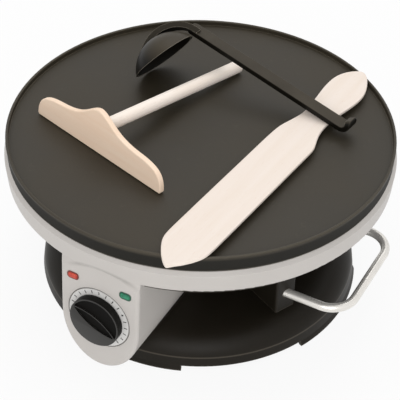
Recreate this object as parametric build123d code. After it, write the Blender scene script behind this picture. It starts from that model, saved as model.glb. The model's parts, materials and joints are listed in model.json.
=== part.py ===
from build123d import *
from math import atan2, cos, degrees, hypot, radians, sin
import os

os.makedirs("parts", exist_ok=True)

# Electric crepe maker, in millimetres. The origin is on the table under the plate's centre,
# +Z is up, the control panel faces -Y and the wire handles are at +X and -X.

# --- Heights of the body ---
ring_base = 116.0            # underside of the grey ring above the table
ring_height = 20.0
plate_gap = 0.8              # shadow gap between ring and plate
plate_side = 14.2            # rim top to the lower edge of the plate's side
rim_height = 4.7             # rim above the cooking surface
plate_floor = 6.0
tray_floor = 4.0

# --- Griddle plate ---
plate_radius = 165.0
plate_draft = 0.8            # how far the side leans in towards its lower edge
plate_wall = 4.5
rim_width = 2.5
rim_round = 1.1
element_rib = 5.0            # wall of the groove that holds the element
boss_radius = 6.0
plate_boss_circle = 120.0
plate_boss_angles = (75, 195, 315)

# --- Heating element and its clamps ---
element_radius = 4.0
element_circle = 95.0
element_gap = 24.0           # degrees left open at the rear
element_bend = 8.0
element_leg = 3.0
element_slack = 0.05
pin_radius = 1.6
pin_length = 5.0
clamp_length = 30.0
clamp_width = 10.0
clamp_thickness = 0.8
clamp_angles = (0, 135, 225)
groove_gap = 0.3             # groove edge below the element

# --- Reflector pan ---
pan_gap = 4.6                # pan below the groove
pan_thickness = 0.8
pan_rim = 4.0
pan_hole = 20.0
pan_margin = 2.0

# --- Ring housing and control panel ---
ring_overhang = 2.0          # ring beyond the plate
ring_taper = 1.3             # ring's lower edge drawn in
ring_chamfer = 3.0
ring_round = 1.4
housing_wall = 3.0
housing_boss_radius = 5.0
housing_screw_angles = (60, 120, 240, 300)
panel_half = 36.0
panel_drop = 48.0            # half ellipse below the straight sides
panel_straight = 64.0        # height where the sides start to round in
panel_tilt = 4.0
panel_offset = 1.9           # panel face beyond the ring at the dial's height
panel_edge = 3.0
arch_height = 119.5
arch_drop = 7.0
arch_half = 27.0
flare = ((5.8, 12.0), (3.6, 9.0), (1.9, 6.0), (0.7, 3.0), (0.0, 0.0))   # out, below the ring
dial_height = 68.0
barrel_back = 64.0           # rear wall of the barrel, from the axis

# --- Dial, knob and thermostat, measured along the panel's normal ---
dial_radius = 27.8
dial_hub = 10.0
dial_thickness = 0.8
dial_recess = 0.6
dial_groove = 1.2
tick_count = 20
tick_first = -150.0
tick_step = 15.0
tick_length = 2.4
tick_width = 0.6
tick_depth = 0.2
knob_radius = 22.5
knob_height = 8.0
knob_gap = 1.0
knob_wall = 2.2
knob_round = 1.6
ridge_length = 43.0
ridge_width = 13.0
ridge_hollow = 4.0
ridge_turn = -26.0           # ridge from upper left to lower right
hub_radius = 5.5
spindle_radius = 3.0
spindle_slack = 0.05
spindle_grip = 5.5           # spindle inside the knob
spring_thickness = 0.6
bush_radius = 4.6
bush_slack = 0.3
thermostat_width = 34.0
thermostat_height = 24.0
thermostat_depth = 20.0
thermostat_gap = 2.0
spindle_depth = 12.0         # spindle inside the thermostat
bracket_thickness = 1.0
bracket_length = 50.0
bracket_width = 14.0
bracket_screw_reach = 21.0
bracket_grip = 1.8           # screws reach this far into the panel's wall
bulb_radius = 3.0
bulb_length = 60.0
bulb_place = -62.0
capillary_radius = 0.9
clip_wall = 0.8

# --- Signal lamps ---
lamp_reach = 24.2
lamp_height = 101.5
lens_width = 8.5
lens_height = 4.7
lens_corner = 1.8
lens_proud = 1.2
bezel_width = 0.3
bezel_proud = 0.5
lamp_slack = 0.1
lamp_wall = 0.7
lamp_step = 0.8              # shoulder under the lens
lamp_depth = 16.0

# --- Underbody tray, handle blocks and handles ---
tray_slack = 0.9
tray_wall = 2.5
tray_rim = 9.0
notch_slack = 1.0
wire_hole = 20.0             # leads pass from the column into the tray
block_angle = 25.5
block_outer = 124.7
block_inner = 85.0
block_width = 20.0
block_bottom = 35.0
block_wall = 2.5
block_solid = 15.0
block_round = 2.0
wire_radius = 3.9
wire_height = 53.0
wire_spread = 52.8
wire_bend = 22.0
wire_end = 101.5
wire_slack = 0.15

# --- Base ---
skirt_radius = 143.0
skirt_taper = 1.7
skirt_lift = 0.6
lip_inset = 3.0              # rounded lip above the skirt
lip_height = 14.0
shoulder_steps = ((6.0, 20.5), (12.0, 26.2), (20.0, 29.8), (34.0, 32.2), (52.0, 33.5))   # in, height
column_foot = 10.0           # dome meets the column over this width
column_seam = 39.0           # above this height the column is a moulding of its own
base_wall = 2.5
cutaway = 5.0
cutaway_span = 44.0
column_radius = 60.0
column_screw_circle = 48.0
column_screw_angles = (45, 135, 225, 315)
column_boss_height = 12.0
pocket_gap = 1.2
cover_height = 6.0
cover_thickness = 2.0
cover_slack = 0.5
foot_radius = 9.0
foot_inset = 25.0            # feet and cover screws in from the skirt
foot_edge = 1.0
foot_stem = 1.5
foot_slack = 0.1             # of the stem in its hole
foot_hole = 3.0
base_screw_inset = 31.0
base_screw_angles = (45, 135, 215, 325)
base_boss_radius = 4.5
vent_length = 26.0
vent_width = 3.0
vent_pitch = 8.0
vent_count = 7
cord_height = 13.5
cord_bore = 3.1
cord_sleeve = 4.2
cord_flange = 5.5
cord_barb = 4.8
cord_rim = 1.8               # thickness of the bush's flange and barb
cord_inside = 9.0            # bush reaches this far in from the lip
cord_outside = 6.0
cord_seat = 0.7
cord_slack = 0.1

# --- Screws ---
screw_radius = 2.0
screw_head = 4.0
screw_head_height = 2.5
small_screw = 1.5
small_head = 2.8
small_head_height = 1.6
screw_slack = 0.15
screw_grip = 8.0

# --- Electrical parts inside the base ---
block_place = 84.0
terminal_length = 34.0
terminal_width = 16.0
terminal_height = 14.0
terminal_bore = 2.2
terminal_pitch = 11.0
terminal_screw = 1.6
lead_radius = 1.2
lead_bend = 3.0
lead_level = 6.5             # leads above the tray's floor
earth_level = 2.8
earth_reach = 40.0
fuse_radius = 2.5
fuse_length = 14.0
fuse_place = 40.0

# --- Utensils ---
rest_gap = 0.2               # utensils lie this far above what carries them
blade_start = (-132.3, -50.8)
blade_end = (13.0, -92.4)
blade_thickness = 5.0
blade_round = 1.2
blade_crown = 41.2
blade_shoulders = ((3.5, 40.5), (7.2, 38.8), (10.8, 36.6), (14.2, 34.3), (17.6, 32.0), (23.8, 28.6),
                   (30.8, 26.1), (39.7, 24.2), (50.0, 23.1), (59.2, 21.7), (65.4, 19.7),
                   (69.4, 17.3), (72.4, 14.0), (74.4, 9.8), (75.4, 5.0))   # out from the middle, height
blade_lower = (74.2, 2.0)    # the flat lower edge ends here, and the side starts at this height
dowel_radius = 5.7
dowel_height = 22.9
dowel_drop = 17.8            # fall of the dowel to its free end
dowel_end = (-12.0, 90.3)    # across and back
dowel_edge = 2.0
dowel_skin = 1.0             # wood left in front of the dowel
spatula_thickness = 3.0
spatula_round = 1.0
spatula_start = (60.9, -167.3)   # tip, past the rim
spatula_angle = 84.8
spatula_tip = ((3.4, 4.6), (7.0, 8.0), (10.0, 10.6), (13.0, 12.8), (16.0, 14.8), (19.0, 16.5),
               (22.0, 18.0), (26.0, 19.3), (32.0, 20.1), (44.0, 20.4))   # along, half width
spatula_sides = ((80.0, 20.5), (120.0, 20.5), (155.0, 20.5))
spatula_left = ((180.0, 20.4), (190.0, 20.0), (198.0, 19.0), (206.0, 16.9), (214.0, 14.8),
                (222.0, 13.2), (231.0, 12.9), (241.0, 13.9), (254.0, 15.5), (266.0, 16.9),
                (276.0, 17.3), (286.0, 16.4), (295.0, 13.2), (301.0, 9.0), (305.0, 4.2))
spatula_right = ((176.0, 20.5), (186.0, 19.9), (194.0, 17.4), (202.0, 14.8), (210.0, 13.2),
                 (219.0, 12.6), (230.0, 13.2), (242.0, 14.9), (254.0, 16.9), (266.0, 18.1),
                 (275.0, 17.7), (284.0, 15.6), (292.0, 12.4), (299.0, 8.6), (304.0, 4.6))
spatula_length = 306.5
bowl_radius = 30.5
bowl_depth = 19.0
bowl_wall = 1.6
bowl_centre = (-63.7, 48.0, 24.7)   # across, back and above the cooking surface
bowl_normal = (0.779, -0.192, -0.597)
strap_thickness = 5.0
strap_near = 12.0
strap_far = 12.6
strap_start = (-53.0, 75.6, 43.6)   # middle of the strap, above the cooking surface
strap_bend = (105.0, 55.4, 8.6)
strap_tip = 4.0
utensil_reach = 200.0        # larger than any utensil, for the shapes that trim them
strap_edge = 0.8             # bevel along both sides
band_width = 11.0
band_rise = 10.5             # how far the band's circle is moved off the bowl's
band_back = 22.0             # direction of that, in degrees away from the hook
hook_radius = 6.5
hook_turn = 128.0

# --- Sizes that follow from the ones above ---
ring_top = ring_base + ring_height
plate_bottom = ring_top + plate_gap
plate_top = plate_bottom + plate_side
cooking_top = plate_top - rim_height
plate_under = cooking_top - plate_floor
element_z = plate_under - element_radius
groove_bottom = element_z - element_radius - groove_gap
pan_top = groove_bottom - pan_gap
tray_bottom = ring_base - tray_floor
ring_radius = plate_radius + ring_overhang
ring_foot = ring_radius - ring_taper
ring_inner = ring_foot - housing_wall
tray_radius = ring_inner - tray_slack
housing_screw_circle = tray_radius - tray_wall - housing_boss_radius - tray_slack
flange_inner = housing_screw_circle - housing_boss_radius
pan_radius = flange_inner - pan_margin
plate_inner = plate_radius - plate_draft - plate_wall
panel_y = -(ring_foot + panel_offset)
dome_top = block_bottom - 1.0
wall_depth = housing_wall + thermostat_gap
bottom_of_base = cover_height + cover_thickness
foot_circle = skirt_radius - foot_inset
base_screw_circle = skirt_radius - base_screw_inset
wire_reach = plate_radius
beyond = 2 * plate_radius    # cutting shapes reach past everything

panel = Plane(
    origin=(0, panel_y, dial_height),
    x_dir=(1, 0, 0),
    z_dir=(0, -cos(radians(panel_tilt)), sin(radians(panel_tilt))),
)
low = (Align.CENTER, Align.CENTER, Align.MIN)
high = (Align.CENTER, Align.CENTER, Align.MAX)


def polar(radius, angle, height=0.0):
    return Pos(radius * cos(radians(angle)), radius * sin(radians(angle)), height)


def rod(radius, bottom, top):
    return Pos(0, 0, bottom) * Cylinder(radius, top - bottom, align=low)


def tube(outer, inner, bottom, top):
    return rod(outer, bottom, top) - rod(inner, bottom - 1, top + 1)


def turned(points):
    return revolve(Plane.XZ * make_face(Polyline(*points, close=True)), Axis.Z)


def circles_at(body, height, radius):
    rings = body.edges().filter_by(GeomType.CIRCLE)
    return [e for e in rings if abs(e.center().Z - height) < 0.01 and abs(e.radius - radius) < 0.01]


def save(name, *shapes):
    solids = [s for shape in shapes for s in shape.solids()]
    export_step(solids[0] if len(solids) == 1 else Compound(solids), f"parts/{name}.step")


def around(shape, places):
    return [place * shape for place in places]


def cut(body, shapes):
    for shape in shapes:
        body = body - shape
    return body


def join(body, shapes):
    for shape in shapes:
        body = body + shape
    return body


# --- Plate, element and reflector ---
def leg_places():
    half = element_gap / 2
    right = Rot(Z=90 - half) * Pos(element_circle, 0, element_z)
    left = Rot(Z=90 + half) * Pos(element_circle, 0, element_z)
    return right, left


def leg_points():
    """Axes of the two element legs, as (x, y)."""
    half = radians(element_gap / 2)
    across = element_circle * sin(half) - element_bend * cos(half)
    back = element_circle * cos(half) + element_bend * sin(half)
    return (across, back), (-across, back)


def griddle_plate():
    low_radius = plate_radius - plate_draft
    body = turned([
        (0, plate_under), (0, cooking_top), (plate_radius - rim_width, cooking_top),
        (plate_radius - rim_width, plate_top), (plate_radius, plate_top),
        (low_radius, plate_bottom), (plate_inner, plate_bottom), (plate_inner, plate_under),
    ])
    body = fillet(circles_at(body, plate_top, plate_radius), rim_round)
    body = fillet(circles_at(body, plate_top, plate_radius - rim_width), rim_round)
    reach = element_radius + element_slack
    rib = reach + element_rib
    body += tube(element_circle + rib, element_circle - rib, groove_bottom, plate_under + 1)
    body -= tube(element_circle + reach, element_circle - reach, groove_bottom - 1, element_z)
    body -= Pos(0, 0, element_z) * Torus(element_circle, reach)
    opening = 2 * element_circle * sin(radians(element_gap / 2)) + 4
    body -= Pos(0, element_circle, groove_bottom) * Box(
        opening, 2 * rib + 8, plate_under - groove_bottom, align=low)
    boss = rod(boss_radius, pan_top, plate_under + 1)
    hole = rod(screw_radius + screw_slack, pan_top - 1, pan_top + screw_grip + 1)
    places = [polar(plate_boss_circle, a) for a in plate_boss_angles]
    body = cut(join(body, around(boss, places)), around(hole, places))
    thread = rod(small_screw + screw_slack, groove_bottom - 1, groove_bottom + 5)
    return cut(body, around(thread, clamp_screw_places()))


def clamp_screw_places():
    offset = element_radius + element_slack + element_rib / 2
    return [polar(element_circle + side * offset, a) for a in clamp_angles for side in (-1, 1)]


def heating_element():
    start = Plane.XZ * Pos(element_circle, element_z) * Circle(element_radius)
    ring = Rot(Z=90 + element_gap / 2) * revolve(start, Axis.Z, 360 - element_gap)
    bend = revolve(Plane.XZ * Circle(element_radius), Axis((0, 0, -element_bend), (-1, 0, 0)), 90)
    leg = Pos(0, element_bend, -element_bend) * Cylinder(element_radius, element_leg, align=high)
    pin = Pos(0, element_bend, -element_bend - element_leg) * Cylinder(
        pin_radius, pin_length, align=high)
    end = bend + leg + pin
    right, left = leg_places()
    return ring + right * end + left * mirror(end, Plane.XZ)


def element_clamps():
    strip = Box(clamp_length, clamp_width, clamp_thickness, align=high)
    offset = element_radius + element_slack + element_rib / 2
    hole = Cylinder(small_screw + screw_slack, 4)
    strip = strip - Pos(offset, 0, 0) * hole - Pos(-offset, 0, 0) * hole
    return [polar(element_circle, a, groove_bottom) * Rot(Z=a) * strip for a in clamp_angles]


def clamp_screws():
    bottom = groove_bottom - clamp_thickness
    screw = rod(small_head, bottom - small_head_height, bottom)
    screw += rod(small_screw, bottom - 0.1, groove_bottom + 4)
    return around(screw, clamp_screw_places())


def reflector_pan():
    base = pan_top - pan_thickness
    inner = pan_radius - pan_thickness
    body = turned([
        (pan_hole, base), (pan_radius, base), (pan_radius, pan_top + pan_rim),
        (inner, pan_top + pan_rim), (inner, pan_top), (pan_hole, pan_top),
    ])
    holes = around(rod(screw_radius + 0.5, base - 1, pan_top + 1),
                   [polar(plate_boss_circle, a) for a in plate_boss_angles])
    leg_hole = rod(element_radius + 1.5, base - 1, pan_top + 1)
    holes += [Pos(x, y, 0) * leg_hole for x, y in leg_points()]
    holes.append(capillary_hole_place() * rod(capillary_radius + 1.5, base - 1, pan_top + 1))
    holes.append(earth_place() * rod(screw_radius + screw_slack, base - 1, pan_top + 1))
    return cut(body, holes)


def standoffs():
    post = tube(housing_boss_radius, screw_radius + screw_slack, ring_base, pan_top - pan_thickness)
    return around(post, [polar(plate_boss_circle, a) for a in plate_boss_angles])


def long_screw(radius, head, head_height, seat, tip):
    """Screw from below: its head lies under the seat and its tip points up."""
    return rod(head, seat - head_height, seat) + rod(radius, seat - 0.1, tip)


def plate_screws():
    screw = long_screw(screw_radius, screw_head, screw_head_height, tray_bottom, pan_top + screw_grip)
    return around(screw, [polar(plate_boss_circle, a) for a in plate_boss_angles])


# --- Ring housing with the control panel ---
def behind_panel(depth):
    """Everything more than depth behind the panel's face."""
    size = 4 * plate_radius
    return panel.offset(-depth) * Box(size, size, size, align=high)


def barrel_section(inset):
    half = panel_half - inset
    drop = panel_drop - inset
    middle = panel_straight
    section = Pos(0, middle) * Ellipse(half, drop)
    section += Pos(0, middle) * Rectangle(2 * half, ring_base - middle, align=(Align.CENTER, Align.MIN))
    return section


def barrel(inset, front, back, top):
    """The panel's U-shaped barrel, drawn in by inset, from back to front behind the panel."""
    section = barrel_section(inset)
    if top > ring_base:
        section += Pos(0, ring_base) * Rectangle(
            2 * (panel_half - inset), top - ring_base, align=(Align.CENTER, Align.MIN))
    run = extrude(Plane.XZ.offset(back) * section, plate_radius + 30 - back)
    return run & behind_panel(front)


def arch_shape():
    """Region under the arched line at the top of the panel."""
    edge = panel_half + 4
    points = []
    for step in range(-4, 5):
        across = edge * step / 4
        points.append((across, arch_height - arch_drop * (across / arch_half) ** 2))
    outline = Spline(*points)
    lower = Polyline(points[-1], (edge, dial_height), (-edge, dial_height), points[0])
    face = make_face([outline, lower])
    return extrude(Plane.XZ.offset(barrel_back) * face, plate_radius + 30 - barrel_back)


def upper_housing():
    chamfer_z = ring_top - ring_chamfer
    ring = turned([
        (ring_inner, ring_base), (ring_foot, ring_base), (ring_radius, chamfer_z),
        (ring_radius - ring_chamfer, ring_top), (flange_inner, ring_top),
        (flange_inner, ring_top - housing_wall), (ring_inner, ring_top - housing_wall),
    ])
    ring = fillet(circles_at(ring, ring_base, ring_foot), ring_round)
    outer = barrel(0, 0, barrel_back, ring_top - ring_chamfer - 1)
    outer = fillet([e for e in outer.edges() if edge_on_panel(e)], panel_edge)
    outer = outer - flare_cut()
    inner = barrel(housing_wall, housing_wall, barrel_back + housing_wall, ring_top)
    front_bulge = rod(ring_radius + 20, dial_height, ring_top) & arch_shape()
    front_bulge = front_bulge - behind_panel(0)
    body = (ring - front_bulge) + outer
    body = body - inner
    body = body - rod(ring_inner, ring_base, ring_top - housing_wall)
    body += barrel_lip()
    boss = rod(housing_boss_radius, ring_base, ring_top - housing_wall + 0.5)
    hole = rod(screw_radius + screw_slack, ring_base - 1, ring_base + screw_grip + 1)
    places = [polar(housing_screw_circle, a) for a in housing_screw_angles]
    body = cut(join(body, around(boss, places)), around(hole, places))
    return cut(body, panel_cuts())


def flare_cut():
    """What lies outside the flared surface that leads from the ring down to the panel."""
    curve = Spline(*[(ring_foot + out, ring_base - drop) for out, drop in flare])
    far = ring_radius + 40
    rest = Polyline(curve @ 1, (ring_foot, ring_top), (far, ring_top), (far, (curve @ 0).Y), curve @ 0)
    return revolve(Plane.XZ * make_face([curve, rest]), Axis.Z)


def edge_on_panel(edge):
    """Is the whole edge on the panel's face, and not its top edge?"""
    spots = [edge @ t for t in (0, 0.5, 1)]
    flat = all(abs(panel.to_local_coords(spot).Z) < 0.01 for spot in spots)
    return flat and abs(spots[0].Z - spots[1].Z) > 0.1


def barrel_lip():
    """Top of the barrel's front wall, up to the ring's flange."""
    strip = barrel(housing_wall, 0, barrel_back, ring_top - ring_chamfer - 1)
    strip = strip - behind_panel(housing_wall)
    strip = strip & rod(ring_radius - ring_chamfer, panel_straight, ring_top - ring_chamfer)
    return strip


def panel_cuts():
    cuts = [panel * Cylinder(dial_radius + dial_groove, 2 * dial_recess)]
    cuts.append(panel * Cylinder(bush_radius + bush_slack, 6 * housing_wall))
    width = lens_width + 2 * lamp_wall + 2 * lamp_slack
    height = lens_height + 2 * lamp_wall + 2 * lamp_slack
    hole = pill(width, height, lens_corner + lamp_wall, 6 * housing_wall)
    cuts += [place * Pos(0, 0, -3 * housing_wall) * hole for place in lamp_places()]
    cuts += [place * Pos(0, 0, -housing_wall) * Cylinder(small_screw + screw_slack, 2 * bracket_grip)
             for place in bracket_places()]
    return cuts


def pill(width, height, corner, length):
    return extrude(RectangleRounded(width, height, corner), length)


def lamp_places():
    rise = (lamp_height - dial_height) / cos(radians(panel_tilt))
    return [panel * Pos(side * lamp_reach, rise, 0) for side in (-1, 1)]


def bracket_places():
    return [panel * Pos(side * bracket_screw_reach, 0, 0) for side in (-1, 1)]


def housing_screws():
    screw = long_screw(screw_radius, screw_head, screw_head_height, tray_bottom, ring_base + screw_grip)
    return around(screw, [polar(housing_screw_circle, a) for a in housing_screw_angles])


# --- Dial, knob, thermostat ---
def dial_scale():
    bottom = -dial_recess
    body = Pos(0, 0, bottom) * (Cylinder(dial_radius, dial_thickness, align=low)
                                - Cylinder(dial_hub, 3 * dial_thickness))
    tick = Pos((knob_radius + dial_radius) / 2, 0, bottom + dial_thickness) * Box(
        tick_length, tick_width, 2 * tick_depth)
    ticks = [Rot(Z=90 - tick_first - i * tick_step) * tick for i in range(tick_count)]
    return panel * cut(body, ticks)


def ridge_half(shift):
    """One curved side of the lens-shaped ridge: an arc through both ends of the knob's face."""
    half = ridge_length / 2
    return ThreePointArc((-half, 0), (0, shift), (half, 0))


def knob():
    top = knob_gap + knob_height
    body = Pos(0, 0, knob_gap) * Cylinder(knob_radius, knob_height, align=low)
    body = fillet(body.edges().filter_by(GeomType.CIRCLE).sort_by(Axis.Z)[-1:], knob_round)
    half = ridge_width / 2
    lens = make_face([ridge_half(half), ridge_half(-half)])
    rim = Circle(knob_radius - knob_wall) - Rot(Z=0) * lens
    upper = split(rim, Plane.XZ, keep=Keep.TOP)
    lower = split(rim, Plane.XZ, keep=Keep.BOTTOM)
    hollow = Pos(0, 0, top - ridge_hollow) * extrude(upper, ridge_hollow + 1)
    hollow += Pos(0, 0, top - ridge_hollow / 2) * extrude(lower, ridge_hollow + 1)
    body = body - hollow
    inside = Pos(0, 0, knob_gap) * Cylinder(knob_radius - knob_wall, 2.5, align=low)
    inside = inside - Cylinder(hub_radius, 40)
    body = body - inside
    bore = Cylinder(spindle_radius + spring_thickness + spindle_slack,
                    2 * (knob_gap + spindle_grip))
    return panel * Rot(Z=ridge_turn) * (body - bore)


def knob_spring():
    outer = spindle_radius + spring_thickness
    ring = Pos(0, 0, knob_gap) * (Cylinder(outer, spindle_grip, align=low)
                                  - Cylinder(spindle_radius + 0.02, 60))
    slot = Pos(outer, 0, 0) * Box(2 * outer, 1.2, 60)
    return panel * Rot(Z=ridge_turn) * (ring - slot)


def thermostat_spindle():
    start = -wall_depth - spindle_depth
    return panel * Pos(0, 0, start) * Cylinder(
        spindle_radius, knob_gap + spindle_grip - start, align=low)


def thermostat_body():
    face = -wall_depth
    case = Pos(0, 0, face) * Box(thermostat_width, thermostat_height, thermostat_depth, align=high)
    case = fillet(case.edges().filter_by(Axis.Z), 2)
    bush = Pos(0, 0, face) * Cylinder(bush_radius, wall_depth - dial_recess, align=low)
    bore = Pos(0, 0, face - spindle_depth) * Cylinder(
        spindle_radius + spindle_slack, wall_depth + spindle_depth + 1, align=low)
    nozzle_base = thermostat_height / 2
    nozzle = Pos(0, nozzle_base, face - thermostat_depth / 2) * Rot(X=-90) * Cylinder(
        capillary_radius + 1, 3, align=low)
    hole = Pos(0, nozzle_base + 3, face - thermostat_depth / 2) * Rot(X=90) * Cylinder(
        capillary_radius, 2, align=low)
    tabs = [Pos(side * 8, -thermostat_height / 2, face - thermostat_depth / 2)
            * Box(5, 6, 0.8, align=(Align.CENTER, Align.MAX, Align.CENTER)) for side in (-1, 1)]
    return panel * (join(case + bush + nozzle, tabs) - bore - hole)


def thermostat_bracket():
    plate = Pos(0, 0, -housing_wall) * Box(bracket_length, bracket_width, bracket_thickness, align=high)
    hole = Cylinder(bush_radius + bush_slack, 60)
    holes = [Pos(side * bracket_screw_reach, 0, 0) * Cylinder(small_screw + screw_slack, 60)
             for side in (-1, 1)]
    jaw_height = wall_depth - housing_wall + 8
    inside = thermostat_width / 2 + 0.1
    jaws = [Pos(side * (inside + bracket_thickness / 2), 0, -housing_wall)
            * Box(bracket_thickness, bracket_width, jaw_height, align=high) for side in (-1, 1)]
    return panel * (join(cut(plate - hole, holes), jaws))


def thermostat_screws():
    seat = -housing_wall - bracket_thickness
    head = Pos(0, 0, seat) * Cylinder(small_head, small_head_height, align=high)
    shank = Pos(0, 0, seat) * Cylinder(small_screw, bracket_thickness + bracket_grip - 0.2, align=low)
    return [place * (head + shank) for place in bracket_places()]


def bulb_height():
    return plate_under - bulb_radius - 0.2


def bulb_shape():
    return Pos(0, bulb_place, bulb_height()) * Rot(Y=90) * Cylinder(bulb_radius, bulb_length)


def bulb_clip():
    outer = bulb_radius + clip_wall
    height = plate_under - bulb_height()
    clip = Rot(Y=90) * Cylinder(outer, 8)
    clip += Box(8, 2 * outer, height, align=low)
    clip -= Rot(Y=90) * Cylinder(bulb_radius + 0.05, 20)
    clip -= Box(20, 2 * bulb_radius + 0.1, height + 1, align=low)
    return Pos(0, bulb_place, bulb_height()) * clip


def capillary_hole_place():
    return Pos(bulb_length / 2 + 12, bulb_place, 0)


def capillary_points():
    """From the bulb's end down through the pan and forward to the thermostat's nozzle."""
    nozzle = panel * Pos(0, thermostat_height / 2 + 3, -wall_depth - thermostat_depth / 2)
    end = nozzle.position
    fall = bulb_length / 2 + 12
    level = (ring_base + pan_top) / 2
    return [
        (bulb_length / 2, bulb_place, bulb_height()),
        (fall, bulb_place, bulb_height()),
        (fall, bulb_place, level),
        (fall * 0.5, end.Y + 24, level - 2),
        (end.X, end.Y + 6, level - 8),
        (end.X, end.Y, end.Z + 14),
        (end.X, end.Y, end.Z - 1.5),
    ]


def swept_tube(points, radius, bend):
    path = FilletPolyline(*points, radius=bend)
    start = Plane(origin=path @ 0, z_dir=path % 0)
    return sweep(start * Circle(radius), path=path)


def capillary_tube():
    return swept_tube(capillary_points(), capillary_radius - 0.1, 5)


# --- Signal lamps ---
def lamp_lens():
    lens = pill(lens_width, lens_height, lens_corner, housing_wall + lens_proud)
    lens = Pos(0, 0, -housing_wall) * lens
    top = lens.faces().sort_by(Axis.Z)[-1]
    return fillet(top.edges(), 0.8)


def lamp_holder():
    width = lens_width + 2 * lamp_slack
    height = lens_height + 2 * lamp_slack
    outer = 2 * lamp_wall
    bezel = pill(width + outer + 2 * bezel_width, height + outer + 2 * bezel_width,
                 lens_corner + lamp_wall + bezel_width, bezel_proud)
    shell = Pos(0, 0, -lamp_depth) * pill(width + outer - lamp_slack, height + outer - lamp_slack,
                                          lens_corner + lamp_wall, lamp_depth + lamp_slack)
    pocket = Pos(0, 0, -housing_wall) * pill(width, height, lens_corner, lamp_depth)
    step = 2 * lamp_step
    bulb = Pos(0, 0, step - lamp_depth) * pill(
        width - step, height - step, lamp_step, lamp_depth - housing_wall - step)
    return bezel + shell - pocket - bulb


# --- Underbody, blocks and handles ---
def handle_angles():
    return [block_angle, -block_angle, 180 - block_angle, 180 + block_angle]


def wire_ways():
    """Where the four wire ends point: (side, level side)."""
    return [(sx, sy) for sx in (-1, 1) for sy in (-1, 1)]


def handle_block():
    """One hollow block, its length along X, its outer end solid for the wire."""
    length = block_outer - block_inner
    body = Pos(block_inner, 0, block_bottom) * Box(
        length, block_width, tray_bottom + 1 - block_bottom, align=(Align.MIN, Align.CENTER, Align.MIN))
    body = fillet(body.edges().filter_by(Axis.Z), block_round)
    inside = length - block_solid - block_wall
    hollow = Pos(block_inner + block_wall, 0, block_bottom - 1) * Box(
        inside, block_width - 2 * block_wall, tray_bottom - block_bottom - block_wall + 1,
        align=(Align.MIN, Align.CENTER, Align.MIN))
    return body - hollow


def underbody():
    body = rod(tray_radius, tray_bottom, ring_base)
    body += tube(tray_radius, tray_radius - tray_wall, tray_bottom, ring_base + tray_rim)
    block = handle_block()
    body = join(body, [Rot(Z=a) * block for a in handle_angles()])
    notch = 2 * (panel_half + notch_slack)
    reach = barrel_back - notch_slack
    body -= Pos(0, -reach, tray_bottom - 1) * Box(
        notch, plate_radius, tray_rim + 10, align=(Align.CENTER, Align.MAX, Align.MIN))
    boss = rod(housing_boss_radius, ring_base - 0.5, ring_base + column_boss_height - 4)
    places = [polar(column_screw_circle, a) for a in column_screw_angles]
    body = join(body, around(boss, places))
    hole = rod(screw_radius + screw_slack, tray_bottom - 1, ring_base + column_boss_height)
    holes = around(hole, places)
    through = rod(screw_radius + screw_slack, tray_bottom - 1, ring_base + 1)
    holes += around(through, [polar(plate_boss_circle, a) for a in plate_boss_angles])
    holes += around(through, [polar(housing_screw_circle, a) for a in housing_screw_angles])
    holes.append(rod(wire_hole, tray_bottom - 1, ring_base + 1))
    for side_x, side_y in wire_ways():
        bore = Pos(side_x * wire_end, side_y * wire_spread, wire_height) * Rot(Y=side_x * 90)
        holes.append(bore * Cylinder(wire_radius + wire_slack, 40, align=low))
        holes.append(lock_place(side_x, side_y) * rod(
            screw_radius + screw_slack, block_bottom - 1, wire_height))
    return cut(body, holes)


def lock_place(side_x, side_y):
    return Pos(side_x * (wire_end + 6), side_y * wire_spread, 0)


def handle_screws():
    top = wire_height - wire_radius - 0.05
    screw = rod(screw_radius, block_bottom + 2, top)
    screw -= Pos(0, 0, block_bottom + 2) * Box(2.6, 0.7, 2)
    return [lock_place(x, y) * screw for x, y in wire_ways()]


def handle(side):
    """Bent wire: two legs along X, one bar along Y."""
    points = [
        (side * (wire_end + 0.3), wire_spread, wire_height),
        (side * wire_reach, wire_spread, wire_height),
        (side * wire_reach, -wire_spread, wire_height),
        (side * (wire_end + 0.3), -wire_spread, wire_height),
    ]
    return swept_tube(points, wire_radius, wire_bend)


# --- Base ---
def dome(inset, bottom):
    """Turned base with its column, drawn in by inset."""
    def shifted(*points):
        return [(radius - inset, height - inset) for radius, height in points]

    lip = (skirt_radius - lip_inset, lip_height)
    shoulder = [(skirt_radius - step, height) for step, height in shoulder_steps]
    foot = (column_radius + column_foot, dome_top)
    skirt = [(skirt_radius - inset, bottom), *shifted((skirt_radius - skirt_taper, cutaway), lip)]
    column = shifted(foot, (column_radius, dome_top + column_foot / 2), (column_radius, tray_bottom))
    curve = Spline(*shifted(lip, *shoulder, foot))
    outline = [Polyline((0, bottom), *skirt), curve, Polyline(*column, (0, tray_bottom - inset)),
               Line((0, tray_bottom - inset), (0, bottom))]
    return revolve(Plane.XZ * make_face(outline), Axis.Z)


def cutaways():
    """Four low arches between the feet zones of the skirt."""
    inner, outer = skirt_radius - 25, skirt_radius + 10
    ring = tube(outer, inner, -1, cutaway)
    half = radians(cutaway_span / 2)
    far = 2 * skirt_radius
    wedge = make_face(Polyline((0, 0), (far * cos(half), far * sin(half)),
                               (far * cos(half), -far * sin(half)), close=True))
    wedge = extrude(wedge, skirt_radius)
    wedge = Pos(0, 0, -2) * wedge
    return [Rot(Z=a) * (ring & wedge) for a in column_screw_angles]


def base_halves(keep):
    """The base's outside with its column, below or above the seam between the two mouldings."""
    return split(base_body(), Plane.XY.offset(column_seam), keep=keep)


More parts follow.
